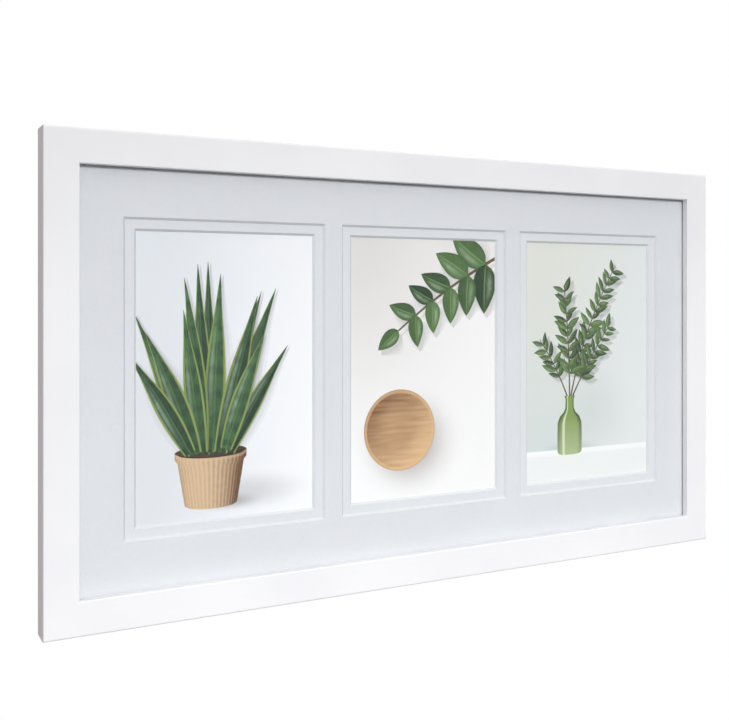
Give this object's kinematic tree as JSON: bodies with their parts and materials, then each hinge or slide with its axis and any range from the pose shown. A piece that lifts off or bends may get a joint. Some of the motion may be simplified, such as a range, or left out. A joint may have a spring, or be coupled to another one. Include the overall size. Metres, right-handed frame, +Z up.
{
  "type": "collage photo frame",
  "caption": "Wall-hung collage photo frame: white mitred timber rails round glass and layered bevelled mats with a row of upright print windows, backing held by turn buttons, D-ring hangers.",
  "frame": {"origin": "middle of the frame's outline on the wall plane, which the bumpers touch", "axes": "+X along the long side to the viewer's right, +Y to the wall, +Z up; the front faces -Y"},
  "size_m": [0.4268, 0.0179, 0.2428],
  "materials": {
    "painted_timber": "white satin paint on finger-jointed softwood",
    "clear_glass": "clear float glass",
    "mat_board": "white mat board with a white core",
    "photo_print": "semi-gloss photo paper",
    "paper_tape": "gummed paper tape",
    "filler_card": "grey card",
    "fibreboard": "raw fibreboard",
    "bright_steel": "zinc plated",
    "button_steel": "black enamelled steel",
    "plated_steel": "nickel plated",
    "bumper_rubber": "dark grey rubber"
  },
  "bodies": {
    "frame": {"rail_top": "painted_timber", "rail_bottom": "painted_timber", "rail_left": "painted_timber", "rail_right": "painted_timber", "glazing_sheet": "clear_glass", "outer_mat": "mat_board", "inner_mat": "mat_board", "photo_left": "photo_print", "photo_centre": "photo_print", "photo_right": "photo_print", "photo_tapes": "paper_tape", "filler_board": "filler_card", "backing_board": "fibreboard", "corner_v_nails": "bright_steel", "turn_button_screws": "bright_steel", "hanger_screws": "bright_steel", "hanger_strap_left": "plated_steel", "hanger_strap_right": "plated_steel", "wall_bumpers": "bumper_rubber"},
    "turn_button_top_left": {"turn_button_top_left": "button_steel"},
    "turn_button_top_right": {"turn_button_top_right": "button_steel"},
    "turn_button_bottom_left": {"turn_button_bottom_left": "button_steel"},
    "turn_button_bottom_right": {"turn_button_bottom_right": "button_steel"},
    "turn_button_left": {"turn_button_left": "button_steel"},
    "turn_button_right": {"turn_button_right": "button_steel"},
    "hanger_ring_left": {"hanger_ring_left": "plated_steel"},
    "hanger_ring_right": {"hanger_ring_right": "plated_steel"}
  },
  "joints": [
    {"name": "turn_button_top_left_turn", "type": "hinge", "parent": "frame", "child": "turn_button_top_left", "pos_m": [-0.105, -0.003, 0.11565], "axis": [0, 1, 0], "continuous": true},
    {"name": "turn_button_top_right_turn", "type": "hinge", "parent": "frame", "child": "turn_button_top_right", "pos_m": [0.105, -0.003, 0.11565], "axis": [0, 1, 0], "continuous": true},
    {"name": "turn_button_bottom_left_turn", "type": "hinge", "parent": "frame", "child": "turn_button_bottom_left", "pos_m": [-0.105, -0.003, -0.11565], "axis": [0, 1, 0], "continuous": true},
    {"name": "turn_button_bottom_right_turn", "type": "hinge", "parent": "frame", "child": "turn_button_bottom_right", "pos_m": [0.105, -0.003, -0.11565], "axis": [0, 1, 0], "continuous": true},
    {"name": "turn_button_left_turn", "type": "hinge", "parent": "frame", "child": "turn_button_left", "pos_m": [-0.20765, -0.003, -0.02], "axis": [0, 1, 0], "continuous": true},
    {"name": "turn_button_right_turn", "type": "hinge", "parent": "frame", "child": "turn_button_right", "pos_m": [0.20765, -0.003, -0.02], "axis": [0, 1, 0], "continuous": true},
    {"name": "hanger_ring_left_swing", "type": "hinge", "parent": "frame", "child": "hanger_ring_left", "pos_m": [-0.2071, -0.00165, 0.045], "axis": [-1, 0, 0], "range_deg": [0, 180]},
    {"name": "hanger_ring_right_swing", "type": "hinge", "parent": "frame", "child": "hanger_ring_right", "pos_m": [0.2071, -0.00165, 0.045], "axis": [-1, 0, 0], "range_deg": [0, 180]}
  ]
}
